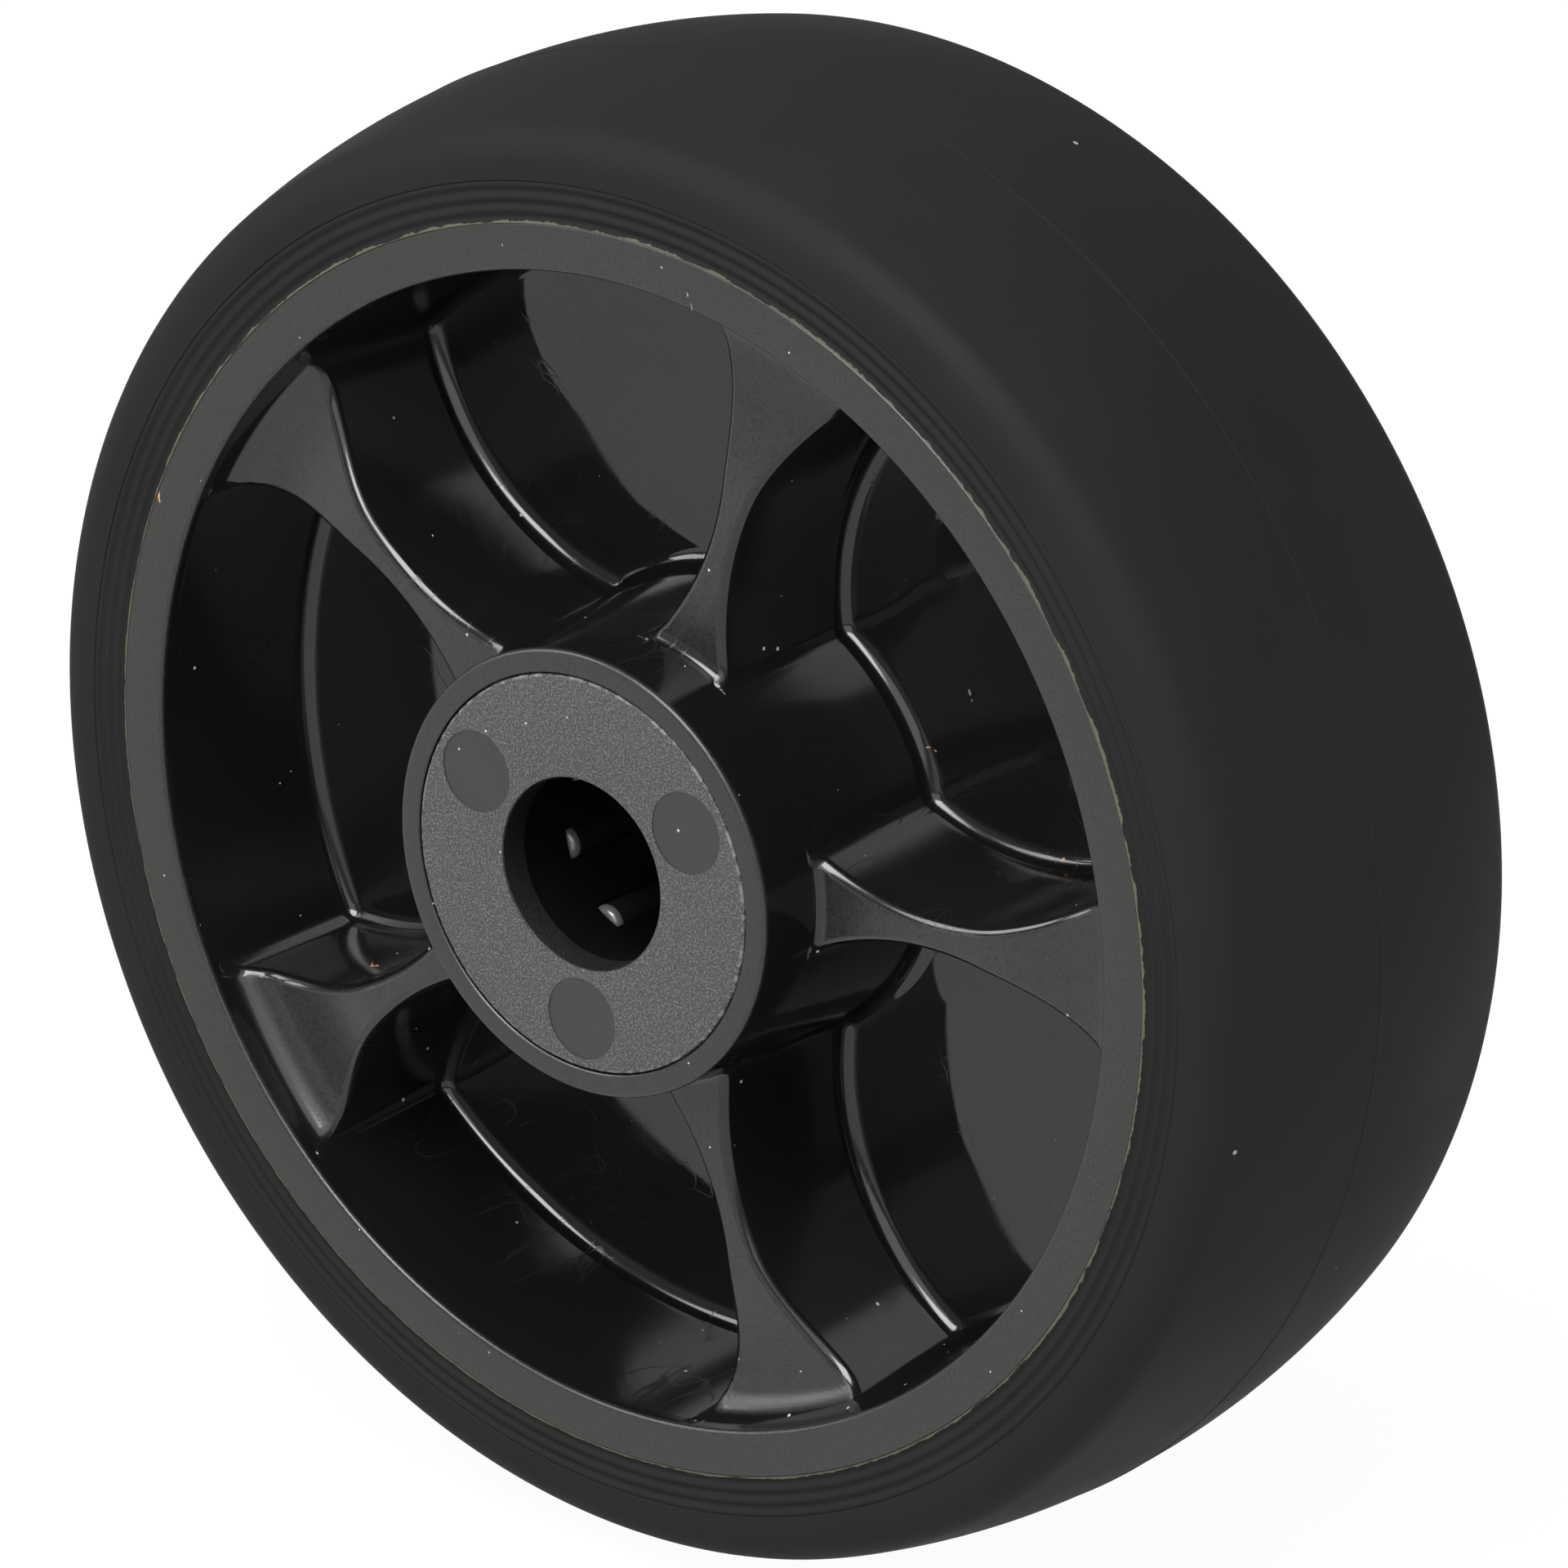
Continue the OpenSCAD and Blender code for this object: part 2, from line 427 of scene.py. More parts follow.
class Effects:
    """Shader node groups that several materials share."""

    SCRATCH_LAYERS = ((0.4, 0.25), (1.7, 0.4), (2.6, 0.18))
    SCRATCH_PATCHES = 70.0
    TONE_SHARE = 0.02
    FIBRE_SWAY = 420.0
    FIBRE_BEND = 0.0022

    def __init__(self) -> None:
        """Build each group once."""
        self.dust = self.build_dust()
        self.scratches = self.build_scratches()
        self.grain = self.build_grain()
        self.fibre = self.build_fibre()

    @staticmethod
    def open_group(
        name: str, inputs: dict[str, float], outputs: list[str]
    ) -> tuple[NodeWriter, dict[str, Socket], Node]:
        """Start a node group with a vector input.

        Args:
            name: Name of the group.
            inputs: Number inputs with their default values.
            outputs: Names of the number outputs.

        Returns:
            The writer, the group's input sockets by name, and its output node.
        """
        tree = bpy.data.node_groups.new(name, "ShaderNodeTree")
        tree.interface.new_socket("Vector", in_out="INPUT", socket_type="NodeSocketVector")
        for key, value in inputs.items():
            socket = tree.interface.new_socket(key, in_out="INPUT", socket_type="NodeSocketFloat")
            socket.default_value = value
        for key in outputs:
            tree.interface.new_socket(key, in_out="OUTPUT", socket_type="NodeSocketFloat")
        writer = NodeWriter(tree)
        start = writer.add("NodeGroupInput")
        end = writer.add("NodeGroupOutput")
        return writer, start.outputs, end

    def build_dust(self) -> Tree:
        """Sparse round specks of dust."""
        inputs = {"Spacing": 0.004, "Radius": 0.1, "Share": 0.2}
        w, given, end = self.open_group("dust_specks", inputs, ["Mask"])
        cells = w.add("ShaderNodeTexVoronoi")
        w.wire(w.scaled(given["Vector"], w.math("DIVIDE", 1.0, given["Spacing"])), cells.inputs["Vector"])
        cells.inputs["Scale"].default_value = 1.0
        tone = w.add("ShaderNodeSeparateColor")
        w.wire(cells.outputs["Color"], tone.inputs[0])
        size = w.times(given["Radius"], tone.outputs["Green"])
        spot = w.math("LESS_THAN", cells.outputs["Distance"], size)
        chosen = w.math("LESS_THAN", tone.outputs["Red"], given["Share"])
        w.wire(w.times(spot, chosen), end.inputs["Mask"])
        return w.tree

    def build_scratches(self) -> Tree:
        """Thin curved hairline scratches in loose patches."""
        inputs = {"Scale": 90.0, "Width": 0.006, "Cover": 0.5}
        w, given, end = self.open_group("hairline_scratches", inputs, ["Mask"])
        layers = []
        for turn, stretch in self.SCRATCH_LAYERS:
            turned = w.add("ShaderNodeMapping")
            w.wire(given["Vector"], turned.inputs["Vector"])
            turned.inputs["Rotation"].default_value = (turn, turn * 1.3, turn * 0.7)
            turned.inputs["Scale"].default_value = (1.0, stretch, 1.0)
            swirl = w.noise(turned.outputs["Vector"], given["Scale"], detail=1.5, rough=0.4)
            layers.append(w.ramp(w.math("ABSOLUTE", w.minus(swirl, 0.5)), given["Width"], 0.0))
        patches = w.noise(given["Vector"], self.SCRATCH_PATCHES, rough=0.6)
        cover = w.ramp(patches, w.minus(0.75, w.times(given["Cover"], 0.5)), 0.75)
        most = w.larger(w.larger(layers[0], layers[1]), layers[2])
        w.wire(w.times(most, cover), end.inputs["Mask"])
        return w.tree

    def build_grain(self) -> Tree:
        """Fine pits of a spark-eroded or blasted mould."""
        w, given, end = self.open_group("mould_grain", {"Scale": 3000.0}, ["Height", "Tone"])
        pits = w.noise(given["Vector"], given["Scale"], 2.0, 0.6)
        w.wire(w.ramp(pits, 0.3, 0.7), end.inputs["Height"])
        clouds = w.noise(given["Vector"], w.times(given["Scale"], self.TONE_SHARE), 3.0, 0.6)
        w.wire(clouds, end.inputs["Tone"])
        return w.tree

    def build_fibre(self) -> Tree:
        """A curly fibre from one point to another."""
        w, given, end = self.open_group("lint_fibre", {"Radius": 0.0001}, ["Mask"])
        for key in ("Start", "End"):
            w.tree.interface.new_socket(key, in_out="INPUT", socket_type="NodeSocketVector")
        sway = w.add("ShaderNodeTexNoise")
        w.wire(given["Vector"], sway.inputs["Vector"])
        sway.inputs["Scale"].default_value = self.FIBRE_SWAY
        bend = w.scaled(w.vector("SUBTRACT", sway.outputs["Color"], (0.5, 0.5, 0.5)), self.FIBRE_BEND)
        away = w.vector("SUBTRACT", w.vector("ADD", given["Vector"], bend), given["Start"])
        along = w.vector("SUBTRACT", given["End"], given["Start"])
        reached = w.vector("DOT_PRODUCT", away, along)
        share = w.math("DIVIDE", reached, w.vector("DOT_PRODUCT", along, along), clamp=True)
        gap = w.vector("DISTANCE", away, w.scaled(along, share))
        w.wire(w.math("LESS_THAN", gap, given["Radius"]), end.inputs["Mask"])
        return w.tree

    @staticmethod
    def use(w: NodeWriter, tree: Tree, vector: object, **values: object) -> dict:
        """Place a group in a material.

        Args:
            w: Writer of the material's tree.
            tree: The group.
            vector: Coordinates for the group.
            values: Other inputs by name.

        Returns:
            The group's output sockets.
        """
        node = w.add("ShaderNodeGroup")
        node.node_tree = tree
        w.wire(vector, node.inputs["Vector"])
        for key, value in values.items():
            w.wire(value, node.inputs[key])
        return node.outputs


@dataclass(frozen=True)
class Finish:
    """What every finish shares: a name and the steps to start and end a material."""

    name: str

    def start(self) -> tuple[Material, NodeWriter, Node]:
        """Make an empty material.

        Returns:
            The material, the writer of its tree and its Principled BSDF.
        """
        material = bpy.data.materials.new(self.name)
        material.use_nodes = True
        tree = material.node_tree
        tree.nodes.clear()
        writer = NodeWriter(tree)
        end = writer.add("ShaderNodeOutputMaterial")
        shader = writer.add("ShaderNodeBsdfPrincipled")
        tree.links.new(shader.outputs["BSDF"], end.inputs["Surface"])
        return material, writer, shader

    @staticmethod
    def bump(w: NodeWriter, shader: Node, height: object, depth: float, strength: float) -> None:
        """Feed a height into the shader's normal, with its full depth in millimetres."""
        node = w.add("ShaderNodeBump")
        node.inputs["Distance"].default_value = depth * MM
        node.inputs["Strength"].default_value = strength
        w.wire(height, node.inputs["Height"])
        w.wire(node.outputs["Normal"], shader.inputs["Normal"])


@dataclass(frozen=True)
class RubberFinish(Finish):
    """Matte black rubber, a little dusty, with a fine moulded skin."""

    colour: Colour = (0.0082, 0.0084, 0.0083, 1.0)
    worn: Colour = (0.0098, 0.0099, 0.0097, 1.0)
    dust_colour: Colour = (0.2, 0.2, 0.19, 1.0)
    flash_colour: Colour = (0.06, 0.065, 0.042, 1.0)
    seam_r: float = 67.0
    flash_w: float = 0.4
    grain_depth: float = 0.012
    specular: float = 0.085

    def build(self, effects: Effects) -> Material:
        """Make the material."""
        material, w, shader = self.start()
        place = w.place()
        cloud = w.noise(place, scale=28.0, detail=4.0, rough=0.55)
        base = w.blend(w.ramp(cloud, 0.35, 0.7), self.colour, self.worn)
        dust = Effects.use(w, effects.dust, place, Spacing=0.0042, Radius=0.075, Share=0.09)["Mask"]
        broken = w.noise(place, scale=380.0, detail=4.0, rough=0.65)
        ragged = w.ramp(broken, 0.3, 0.75, self.seam_r * MM, (self.seam_r + self.flash_w) * MM)
        flash = w.math("LESS_THAN", w.vector("LENGTH", w.flat(place)), ragged)
        seamed = w.blend(flash, base, self.flash_colour)
        w.wire(w.blend(dust, seamed, self.dust_colour), shader.inputs["Base Color"])
        w.wire(w.ramp(cloud, 0.3, 0.75, 0.6, 0.75), shader.inputs["Roughness"])
        shader.inputs["Specular IOR Level"].default_value = self.specular
        grain = Effects.use(w, effects.grain, place, Scale=2600.0)
        self.bump(w, shader, grain["Height"], self.grain_depth, 0.5)
        return material


@dataclass(frozen=True)
class Fibre:
    """A thread of lint that lies on the plastic, with its ends in millimetres."""

    start: Place
    end: Place
    colour: Colour
    radius: float = 0.1


BROWN = (0.36, 0.17, 0.08, 1.0)
GREY = (0.17, 0.17, 0.16, 1.0)
LINT = (
    Fibre((-61.9, -25.0, 25.6), (-61.2, -25.0, 23.7), BROWN, 0.13),
    Fibre((-43.6, -13.6, -26.4), (-41.3, -15.0, -25.8), BROWN, 0.16),
    Fibre((39.2, -3.7, 3.6), (41.3, -3.7, 3.7), BROWN),
    Fibre((22.9, -4.0, 11.5), (24.6, -3.5, 11.1), BROWN),
    Fibre((28.6, -3.5, 18.9), (30.6, -3.5, 14.4), GREY),
    Fibre((8.8, -25.0, 63.6), (10.4, -25.0, 60.4), GREY),
    Fibre((-14.9, -25.0, 64.4), (-14.6, -25.0, 61.6), GREY),
)


@dataclass(frozen=True)
class CentreFinish(Finish):
    """Glossy black moulded plastic, with satin faces, hairline scratches, dust and lint."""

    shape: "WheelCentre"
    colour: Colour = (0.0045, 0.0042, 0.004, 1.0)
    face_colour: Colour = (0.011, 0.011, 0.0105, 1.0)
    dust_colour: Colour = (0.3, 0.29, 0.27, 1.0)
    lint: tuple[Fibre, ...] = LINT
    top_fade: Point = (-0.7, -0.4)
    rim_fade: Point = (-0.8, -0.4)
    hub_fade: Point = (-0.8, -0.4)
    spoke_end_fade: Point = (-0.7, -1.7)
    spoke_root_fade: Point = (0.6, 1.4)
    floor_fade: Point = (0.6, 0.1)
    skin: float = 0.12
    relief_depth: float = 0.012
    satin_rough: float = 0.2
    scratch_rough: float = 0.3
    dust_rough: float = 0.8
    mirror_gain: float = 0.1
    ior: float = 1.52

    def on_rings(self, w: NodeWriter, depth: Socket, radius: Socket) -> Socket:
        """Mask of the flat faces of the rim and the hub."""
        shape = self.shape
        high = w.fade(depth, shape.half_w, self.top_fade)
        wide = w.fade(radius, shape.inner_r, self.rim_fade)
        on_hub = w.fade(depth, shape.hub_half, self.hub_fade)
        return w.larger(w.times(high, wide), on_hub)

    def on_spokes(self, w: NodeWriter, depth: Socket, radius: Socket) -> Socket:
        """Mask of the spokes' faces, with the dip and the ramp up to the rim."""
        shape = self.shape
        start, end = shape.dip_from() * MM, shape.rim_foot()[0] * MM
        height = w.ramp(radius, start, end, shape.face_y * MM, shape.dip_y * MM)
        reach = w.larger(w.minus(radius, end), 0.0)
        squares = w.minus((shape.ramp_r * MM) ** 2, w.times(reach, reach))
        lift = w.minus(shape.ramp_r * MM, w.math("SQRT", w.larger(squares, 0.0)))
        above = w.math("GREATER_THAN", depth, w.plus(height, w.minus(lift, self.skin * MM)))
        inside = w.fade(radius, shape.inner_r, self.spoke_end_fade)
        clear = w.fade(radius, shape.hub_r, self.spoke_root_fade)
        return w.times(above, w.times(inside, clear))

    @staticmethod
    def lay(w: NodeWriter, effects: Effects, place: Socket, fibre: Fibre) -> Socket:
        """Place one fibre and return its mask."""
        start, end = Vector(fibre.start) * MM, Vector(fibre.end) * MM
        return Effects.use(w, effects.fibre, place, Start=start, End=end, Radius=fibre.radius * MM)["Mask"]

    def build(self, effects: Effects) -> Material:
        """Make the material."""
        material, w, shader = self.start()
        place = w.place()
        depth, radius = w.depth(place), w.vector("LENGTH", w.flat(place))
        satin = w.larger(self.on_rings(w, depth, radius), self.on_spokes(w, depth, radius))
        low = w.fade(depth, self.shape.web_half, self.floor_fade)
        scratch = Effects.use(w, effects.scratches, place, Scale=130.0, Width=0.007, Cover=0.6)["Mask"]
        dust = Effects.use(w, effects.dust, place, Spacing=0.0020, Radius=0.11, Share=0.22)["Mask"]
        grain = Effects.use(w, effects.grain, place, Scale=3000.0)
        mottled = w.times(satin, w.ramp(grain["Height"], 0.1, 0.9, 0.2, 2.2))
        littered = w.blend(dust, w.blend(mottled, self.colour, self.face_colour), self.dust_colour)
        for fibre in self.lint:
            littered = w.blend(self.lay(w, effects, place, fibre), littered, fibre.colour)
        w.wire(littered, shader.inputs["Base Color"])
        haze = w.ramp(w.noise(place, scale=45.0, detail=3.0, rough=0.6), 0.35, 0.75, 0.12, 0.18)
        rough = w.minus(w.plus(haze, w.times(satin, self.satin_rough)), w.times(low, self.mirror_gain))
        scuffed = w.math("ADD", rough, w.times(scratch, self.scratch_rough), clamp=True)
        w.wire(w.larger(scuffed, w.times(dust, self.dust_rough)), shader.inputs["Roughness"])
        shader.inputs["IOR"].default_value = self.ior
        relief = w.times(grain["Height"], w.plus(w.times(satin, 0.9), 0.05))
        dents = w.times(scratch, -0.5)
        waves = w.noise(place, scale=55.0, detail=1.0, rough=0.4)
        ripple = w.times(waves, w.ramp(low, 0.0, 1.0, 1.2, 0.25))
        self.bump(w, shader, w.plus(w.plus(relief, dents), ripple), self.relief_depth, 0.6)
        return material


@dataclass(frozen=True)
class CapFinish(Finish):
    """Grainy grey-black plastic, three smooth ejector marks, painted glints on the grain and painted shade
    in the bore.
    """

    shape: "EndCap"
    colour: Colour = (0.022, 0.022, 0.0225, 1.0)
    # The pale colour is a painted glint on the grain peaks.
    pale: Colour = (0.12, 0.12, 0.122, 1.0)
    mark_colour: Colour = (0.014, 0.014, 0.0145, 1.0)
    dust_colour: Colour = grey(0.3)
    # Near-black bore colour: painted shade inside the bore.
    bore_shade_colour: Colour = grey(0.0015)
    burr_colour: Colour = grey(0.16)
    burr_r: float = 20.95
    burr_fade: Point = (0.0, 0.2)
    mark_fade: Point = (0.1, -0.1)
    bore_shade_fade: Point = (0.2, 0.1)
    grain_depth: float = 0.05

    def on_marks(self, w: NodeWriter, flat: Socket) -> Socket:
        """Mask of the ejector marks."""
        whole = None
        for x, z in self.shape.mark_places():
            away = w.vector("DISTANCE", flat, (x * MM, 0.0, z * MM))
            mark = w.fade(away, self.shape.mark_r, self.mark_fade)
            whole = mark if whole is None else w.larger(whole, mark)
        return whole

    def build(self, effects: Effects) -> Material:
        """Make the material."""
        material, w, shader = self.start()
        place = w.place()
        flat = w.flat(place)
        radius = w.vector("LENGTH", flat)
        marks = self.on_marks(w, flat)
        rough_skin = w.minus(1.0, marks)
        grain = Effects.use(w, effects.grain, place, Scale=4300.0)
        dust = Effects.use(w, effects.dust, place, Spacing=0.0018, Radius=0.1, Share=0.1)["Mask"]
        # Pale flecks on the grain peaks are painted glints.
        glint_peaks = w.times(w.ramp(grain["Height"], 0.4, 1.0), rough_skin)
        broken = w.ramp(w.noise(place, scale=900.0), 0.45, 0.6)
        burr = w.times(w.fade(radius, self.burr_r, self.burr_fade), broken)
        # The bore wall is painted near-black as shade.
        inside = w.fade(radius, self.shape.bore_r, self.bore_shade_fade)
        base = w.blend(w.times(glint_peaks, 0.55), w.blend(marks, self.colour, self.mark_colour), self.pale)
        edged = w.blend(w.times(burr, 0.6), base, self.burr_colour)
        shaded = w.blend(inside, w.blend(dust, edged, self.dust_colour), self.bore_shade_colour)
        w.wire(shaded, shader.inputs["Base Color"])
        w.wire(w.ramp(rough_skin, 0.0, 1.0, 0.36, 0.5), shader.inputs["Roughness"])
        self.bump(w, shader, w.times(grain["Height"], rough_skin), self.grain_depth, 0.75)
        return material


@dataclass(frozen=True)
class CageFinish(Finish):
    """Black moulded plastic with a light grain, for the cage inside the bore, painted darker still as
    shade.
    """

    # Both tones are darker than the black plastic itself: painted shade inside the bore.
    colour: Colour = grey(0.0015)
    second: Colour = grey(0.0025)
    roughness: float = 0.5
    specular: float = 0.08
    grain_depth: float = 0.01

    def build(self, effects: Effects) -> Material:
        """Make the material."""
        material, w, shader = self.start()
        place = w.place()
        grain = Effects.use(w, effects.grain, place, Scale=900.0)
        w.wire(w.blend(grain["Tone"], self.colour, self.second), shader.inputs["Base Color"])
        rough = w.ramp(grain["Tone"], 0.2, 0.8, self.roughness * 0.8, self.roughness * 1.2)
        w.wire(rough, shader.inputs["Roughness"])
        shader.inputs["Specular IOR Level"].default_value = self.specular
        self.bump(w, shader, grain["Height"], self.grain_depth, 0.6)
        return material


@dataclass(frozen=True)
class RollerFinish(Finish):
    """Near-black rollers whose rounded ends are painted pale, a painted highlight that shows as bright
    crescents.
    """

    side_colour: Colour = grey(0.006)
    # The pale end colour is a painted highlight on the rounded ends.
    end_highlight_colour: Colour = grey(0.2)
    end_y: float = 19.0
    end_fade: Point = (-0.1, 0.2)
    metal: float = 0.5
    specular: float = 0.1

    def build(self, effects: Effects) -> Material:
        """Make the material."""
        material, w, shader = self.start()
        place = w.place()
        tip = w.fade(w.depth(place), self.end_y, self.end_fade)
        # Pale tips are a painted highlight; the sides stay near-black.
        w.wire(w.blend(tip, self.side_colour, self.end_highlight_colour), shader.inputs["Base Color"])
        w.wire(w.times(tip, self.metal), shader.inputs["Metallic"])
        grain = Effects.use(w, effects.grain, place, Scale=400.0)
        sides = w.ramp(tip, 0.0, 1.0, 0.65, 0.2)
        w.wire(w.plus(sides, w.times(grain["Tone"], 0.06)), shader.inputs["Roughness"])
        shader.inputs["Specular IOR Level"].default_value = self.specular
        return material


@dataclass
class WheelCentre:
    """The moulded centre: hub, web, spokes and rim in one piece."""

    rim_r: float = 67.0
    rim_face_w: float = 5.0
    rim_draft: float = 4.5
    lock_h: float = 3.0
    lock_w: float = 10.0
    half_w: float = 25.0
    hub_half: float = 31.0
    hub_r: float = 24.0
    hub_draft: float = 2.0
    bore_r: float = 14.35
    cap_r: float = 21.5
    cap_t: float = 3.5
    web_half: float = 3.5
    spoke_n: int = 5
    spoke_waist: float = 3.5
    waist_inset: float = 23.6
    flank_r: float = 32.5
    spoke_drop: float = 2.5
    spoke_dip: float = 2.3
    dip_start: float = 0.53
    spoke_draft: float = 1.5
    spoke_phase: float = 0.3
    floor_r: float = 2.0
    foot_r: float = 1.2
    ramp_r: float = 4.0
    edge_r: float = 0.5
    spoke_edge: float = 1.2
    least_edge: float = 0.2
    rim_corner_r: float = 2.4
    hub_corner_r: float = 2.4
    bite: float = 0.02
    spin_steps: int = 360
    lip: float = 0.12
    inner_r: float = field(init=False)
    face_y: float = field(init=False)
    dip_y: float = field(init=False)
    drum_at: Point = field(init=False)

    RIM_STEPS: ClassVar[int] = 24
    CORNER_STEPS: ClassVar[int] = 10
    FLANK_STEPS: ClassVar[int] = 26
    HUB_STEPS: ClassVar[int] = 16
    FLOOR_STEPS: ClassVar[int] = 8
    DIP_STEPS: ClassVar[int] = 24
    EDGE_STEPS: ClassVar[int] = 8
    FOOT_STEPS: ClassVar[int] = 12
    RAMP_STEPS: ClassVar[int] = 16
    SPIN_TILT: ClassVar[float] = 0.37
    SMOOTH_BELOW: ClassVar[float] = 26.0
    STEEPEST: ClassVar[float] = 0.98
    CLEAR_TOP: ClassVar[float] = 1.0
    EDGE_LIFTS: ClassVar[tuple[float, ...]] = (0.0, 13.0, 26.0, 39.0, 52.0, 65.0, 77.0)

    def __post_init__(self) -> None:
        """Work out the sizes that follow from the others."""
        self.inner_r = self.rim_r - self.rim_face_w
        self.face_y = self.half_w - self.spoke_drop
        self.dip_y = self.face_y - self.spoke_dip
        along, across = self.inner_r - self.waist_inset, self.flank_r + self.spoke_waist / 2
        turn = math.atan2(across, along) - math.pi / self.spoke_n
        reach = math.hypot(along, across)
        self.drum_at = (reach * math.cos(turn), -reach * math.sin(turn))

    def hub_wall(self, y: float) -> float:
        """Radius of the hub's wall at a distance from the middle plane."""
        return self.hub_r + (self.hub_half - y) * math.tan(math.radians(self.hub_draft))

    def rim_wall(self, y: float) -> float:
        """Radius of the rim's inner wall at a distance from the middle plane."""
        return self.inner_r - (self.half_w - y) * math.tan(math.radians(self.rim_draft))

    def drum_wall(self, y: float) -> float:
        """Radius of a spoke's hollow side at a distance from the middle plane."""
        return self.flank_r - (self.face_y - y) * math.tan(math.radians(self.spoke_draft))

    def hub_foot(self) -> Point:
        """Centre of the fillet between a spoke face and the hub."""
        reach = fillet_reach(self.foot_r, self.hub_draft)
        return self.hub_wall(self.face_y) + reach, self.face_y + self.foot_r

    def rim_foot(self) -> Point:
        """Centre of the fillet between a spoke face and the rim."""
        reach = fillet_reach(self.ramp_r, self.rim_draft)
        return self.rim_wall(self.dip_y) - reach, self.dip_y + self.ramp_r

    def dip_from(self) -> float:
        """Radius at which a spoke's face starts to dip."""
        return self.hub_r + self.dip_start * (self.inner_r - self.hub_r)

    def face_height(self, r: float) -> float:
        """Distance of a spoke's face from the middle plane.

        Args:
            r: Distance from the axle.

        Returns:
            The height of the face, on its fillets too.
        """
        foot, ramp = self.hub_foot(), self.rim_foot()
        if r < foot[0]:
            reach = min(foot[0] - r, self.foot_r * self.STEEPEST)
            return foot[1] - math.sqrt(self.foot_r**2 - reach**2)
        if r > ramp[0]:
            reach = min(r - ramp[0], self.ramp_r * self.STEEPEST)
            return ramp[1] - math.sqrt(self.ramp_r**2 - reach**2)
        share = max(0.0, (r - self.dip_from()) / (ramp[0] - self.dip_from()))
        return self.face_y - self.spoke_dip * smooth(share)

    def section(self) -> Outline:
        """Upper half of the section, with the spoke faces still a closed ring."""
        cap_floor = self.hub_half - self.cap_t
        start, end = self.dip_from(), self.rim_foot()[0]
        dip = [start + (end - start) * i / self.DIP_STEPS for i in range(self.DIP_STEPS + 1)]
        edge, lip, steps = self.edge_r, self.lip, self.EDGE_STEPS
        return [
            (self.bore_r, 0.0),
            (self.bore_r, cap_floor),
            (self.cap_r, cap_floor),
            (self.cap_r, self.hub_half - lip),
            (self.cap_r + lip, self.hub_half),
            *arc((self.hub_r - edge, self.hub_half - edge), edge, 90, self.hub_draft, steps),
            *arc(self.hub_foot(), self.foot_r, 180 + self.hub_draft, 270, self.FOOT_STEPS),
            *[(r, self.face_height(r)) for r in dip],
            *arc(self.rim_foot(), self.ramp_r, 270, 360 - self.rim_draft, self.RAMP_STEPS)[1:],
            *arc((self.inner_r + edge, self.half_w - edge), edge, 180 - self.rim_draft, 90, steps),
            (self.rim_r - lip, self.half_w),
            (self.rim_r, self.half_w - lip),
            (self.rim_r, self.lock_w / 2 + self.lock_h),
            (self.rim_r + self.lock_h, self.lock_w / 2),
            (self.rim_r + self.lock_h, 0.0),
        ]

    def corner(self, wall: float, drum: float, radius: float, inside: bool) -> tuple[Point, float, float]:
        """A rounded corner between a wall about the axle and a spoke's hollow side.

        Args:
            wall: Radius of the wall about the axle.
            drum: Radius of the hollow side about its own centre.
            radius: Radius of the corner.
            inside: True at the rim, whose wall is outside the pocket.

        Returns:
            The corner's centre, and its angles in degrees from the axle and from the side's centre.
        """
        far = wall - radius if inside else wall + radius
        near = drum - radius
        across, up = self.drum_at
        reach = math.hypot(across, up)
        turn = math.acos((far**2 + reach**2 - near**2) / (2 * far * reach)) + math.atan2(up, across)
        centre = (far * math.cos(turn), far * math.sin(turn))
        around = math.atan2(centre[1] - up, centre[0] - across)
        return centre, math.degrees(turn), math.degrees(around)

    def pocket_outline(self, rim: float, hub: float, drum: float, shrink: float) -> Outline:
        """One pocket's outline at one depth, with rounded corners.

        Args:
            rim: Radius of the rim's wall there.
            hub: Radius of the hub's wall there.
            drum: Radius of the spokes' hollow sides there.
            shrink: How far the outline lies inside these walls.

        Returns:
            The outline, anticlockwise, with the pocket's middle on the first axis.
        """
        rim, hub, drum = rim - shrink, hub + shrink, drum - shrink
        outer_r, inner_r = self.rim_corner_r - shrink, self.hub_corner_r - shrink
        outer, outer_turn, outer_around = self.corner(rim, drum, outer_r, True)
        inner, inner_turn, inner_around = self.corner(hub, drum, inner_r, False)
        half = [
            *arc((0, 0), rim, 0, outer_turn, self.RIM_STEPS)[:-1],
            *arc(outer, outer_r, outer_turn, outer_around, self.CORNER_STEPS)[:-1],
            *arc(self.drum_at, drum, outer_around, inner_around, self.FLANK_STEPS)[:-1],
            *arc(inner, inner_r, inner_around, 180 + inner_turn, self.CORNER_STEPS)[:-1],
            *arc((0, 0), hub, inner_turn, 0, self.HUB_STEPS),
        ]
        return half + [(x, -y) for x, y in reversed(half[1:-1])]

    def pocket_ring(self, y: float, shrink: float = 0.0) -> list[Vector]:
        """A ring of the pocket's wall at one depth, in metres."""
        rim, hub = self.rim_wall(y) + self.bite, self.hub_wall(y) - self.bite
        outline = self.pocket_outline(rim, hub, self.drum_wall(y), shrink)
        return [Vector((u, y, v)) * MM for u, v in outline]

    def flank_share(self) -> list[float]:
        """For each outline point, 1 on the round flank and 0 on the walls of rim and hub."""
        ease = [smooth(i / self.CORNER_STEPS) for i in range(self.CORNER_STEPS)]
        rise = [0.0] * self.RIM_STEPS + ease + [1.0] * self.FLANK_STEPS
        half = rise + [1 - e for e in ease] + [0.0] * (self.HUB_STEPS + 1)
        return half + half[-2:0:-1]

